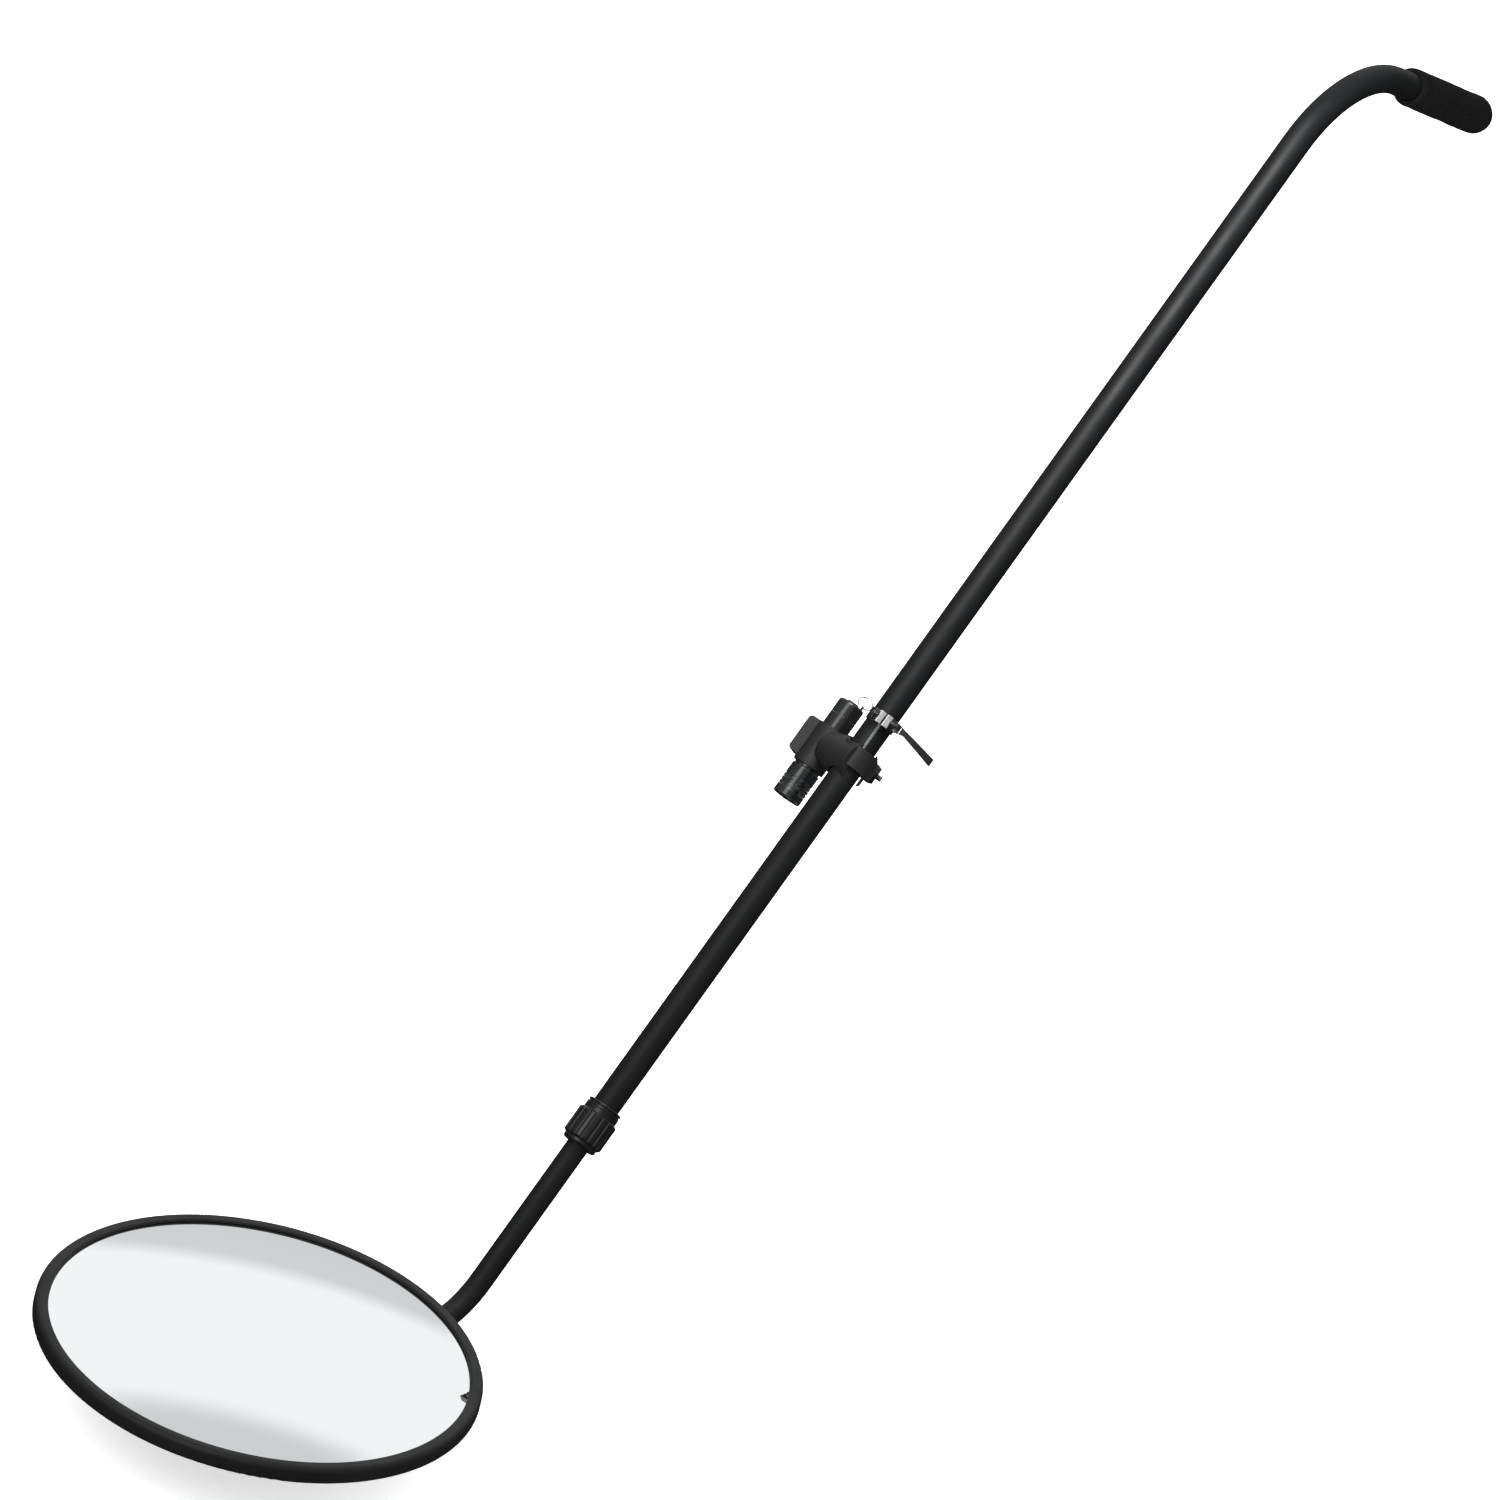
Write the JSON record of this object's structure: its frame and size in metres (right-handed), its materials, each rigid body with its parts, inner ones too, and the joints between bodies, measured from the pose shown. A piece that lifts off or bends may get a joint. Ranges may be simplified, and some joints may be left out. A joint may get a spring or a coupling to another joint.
{
  "type": "telescoping inspection mirror",
  "caption": "Convex inspection mirror on a bent telescoping pole with a twist collar, quick-release clamp, foam grip and clip-on torch.",
  "frame": {"origin": "on the grip's axis, at the middle of its straight stretch", "axes": "+Z is the mirror's outward normal, the pole and mirror centre lie in the XZ plane, +X runs from the mirror to the grip"},
  "size_m": [1.2174, 0.3, 0.7565],
  "materials": {
    "tube_black": "satin",
    "inner_steel": "satin",
    "grip_foam": "matte",
    "black_plastic": "matte",
    "grey_plastic": "matte",
    "natural_nylon": "matte",
    "bright_metal": "satin",
    "black_steel": "satin",
    "rim_rubber": "matte",
    "mirror_silver": "polished",
    "felt": "matte",
    "lamp_alloy": "satin",
    "lens_clear": "gloss",
    "seal_rubber": "matte",
    "reflector_chrome": "polished",
    "led_yellow": "satin",
    "cell_jacket": "satin"
  },
  "bodies": {
    "handle": {"handle_tube": "tube_black", "foam_grip": "grip_foam", "grip_plug": "black_plastic", "extension_tube": "inner_steel", "packing_sleeve": "natural_nylon", "upper_clip": "bright_metal", "upper_stop": "black_plastic"},
    "upper_guide": {"upper_guide": "natural_nylon"},
    "main": {"main_tube": "tube_black", "clamp_shim": "natural_nylon", "clamp_band": "black_steel", "clamp_saddle": "bright_metal", "clamp_bolt": "black_steel", "clamp_nut": "black_steel", "clamp_washer": "black_plastic", "lever_pin": "bright_metal", "collet": "black_plastic", "collar_ring": "black_plastic"},
    "clamp_lever": {"clamp_lever": "black_steel"},
    "twist_collar": {"twist_collar": "black_plastic"},
    "lower_guide": {"lower_guide": "natural_nylon"},
    "lower": {"lower_tube": "tube_black", "lower_clip": "bright_metal", "lower_stop": "black_plastic", "tilt_eye": "black_steel"},
    "fork": {"swivel_fork": "black_steel", "swivel_clip": "bright_metal", "tilt_bolt": "bright_metal"},
    "tilt_knob": {"tilt_knob": "black_plastic"},
    "mirror": {"base_plate": "black_steel", "base_screws": "bright_metal", "back_shell": "black_plastic", "mirror_backing": "felt", "mirror_dome": "mirror_silver", "rim_trim": "rim_rubber"},
    "bracket_liner": {"bracket_liner": "seal_rubber"},
    "bracket": {"bracket_band": "grey_plastic", "bracket_stud": "black_steel", "knuckle_disc": "grey_plastic", "knuckle_screw": "bright_metal"},
    "bracket_nut": {"bracket_nut": "black_plastic"},
    "lamp_clip": {"lamp_clip": "grey_plastic", "ear_screw": "black_steel"},
    "clip_liner": {"clip_liner": "seal_rubber"},
    "lamp": {"lamp_body": "lamp_alloy", "lamp_head": "lamp_alloy", "lamp_bezel": "lamp_alloy", "lamp_lens": "lens_clear", "lens_seal": "seal_rubber", "lamp_reflector": "reflector_chrome", "led_module": "led_yellow", "battery": "cell_jacket", "contact_spring": "bright_metal", "switch_body": "black_plastic", "tail_cap": "lamp_alloy"},
    "switch_button": {"switch_button": "seal_rubber"},
    "lanyard_ring": {"lanyard_ring": "bright_metal"}
  },
  "joints": [
    {"name": "pole_turn", "type": "hinge", "parent": "handle", "child": "upper_guide", "pos_m": [-0.46889, 0, -0.32917], "axis": [0.6639, 0, 0.7478], "range_deg": [-180, 180]},
    {"name": "upper_slide", "type": "slide", "parent": "upper_guide", "child": "main", "axis": [-0.6639, 0, -0.7478], "range_m": [0, 0.12]},
    {"name": "clamp_lever_close", "type": "hinge", "parent": "main", "child": "clamp_lever", "pos_m": [-0.47721, -0.01538, -0.328], "axis": [0.6639, 0, 0.7478], "range_deg": [0, 80]},
    {"name": "collar_twist", "type": "hinge", "parent": "main", "child": "twist_collar", "pos_m": [-0.69542, 0, -0.58432], "axis": [0.6639, 0, 0.7478], "range_deg": [0, 180]},
    {"name": "lower_slide", "type": "slide", "parent": "main", "child": "lower_guide", "axis": [-0.6639, 0, -0.7478], "range_m": [0, 0.08]},
    {"name": "lower_turn", "type": "hinge", "parent": "lower_guide", "child": "lower", "pos_m": [-0.69542, 0, -0.58432], "axis": [0.6639, 0, 0.7478], "range_deg": [-180, 180]},
    {"name": "mirror_tilt", "type": "hinge", "parent": "lower", "child": "fork", "pos_m": [-1.01247, 0, -0.6925], "axis": [0, -1, 0], "range_deg": [-12, 100]},
    {"name": "tilt_knob_turn", "type": "hinge", "parent": "fork", "child": "tilt_knob", "pos_m": [-1.01247, 0, -0.6925], "axis": [0, 1, 0], "continuous": true},
    {"name": "mirror_swivel", "type": "hinge", "parent": "fork", "child": "mirror", "pos_m": [-1.01247, 0, -0.6925], "axis": [0, 0, 1], "continuous": true},
    {"name": "bracket_slide", "type": "slide", "parent": "main", "child": "bracket_liner", "axis": [0.6639, 0, 0.7478], "range_m": [-0.26, 0.012]},
    {"name": "bracket_turn", "type": "hinge", "parent": "bracket_liner", "child": "bracket", "pos_m": [-0.49412, 0, -0.35758], "axis": [0.6639, 0, 0.7478], "range_deg": [-90, 90]},
    {"name": "bracket_nut_turn", "type": "hinge", "parent": "bracket", "child": "bracket_nut", "pos_m": [-0.47854, -0.00374, -0.36794], "axis": [0.3511, -0.8829, -0.3117], "continuous": true},
    {"name": "lamp_swivel", "type": "hinge", "parent": "bracket", "child": "lamp_clip", "pos_m": [-0.49412, 0, -0.35758], "axis": [0.2922, 0.9205, -0.2594], "continuous": true},
    {"name": "lamp_roll", "type": "hinge", "parent": "lamp_clip", "child": "clip_liner", "pos_m": [-0.48389, 0.03222, -0.36667], "axis": [0.6639, 0, 0.7478], "continuous": true},
    {"name": "lamp_slide", "type": "slide", "parent": "clip_liner", "child": "lamp", "axis": [0.6639, 0, 0.7478], "range_m": [-0.018, 0.0012]},
    {"name": "button_press", "type": "slide", "parent": "lamp", "child": "switch_button", "axis": [-0.6639, 0, -0.7478], "range_m": [0, 0.0012], "stiffness_N_per_m": 1000, "springref_m": -0.0015},
    {"name": "ring_hinge", "type": "hinge", "parent": "lamp", "child": "lanyard_ring", "pos_m": [-0.46072, 0.02479, -0.3407], "axis": [0.3511, -0.8829, -0.3117], "range_deg": [-30, 130]}
  ]
}
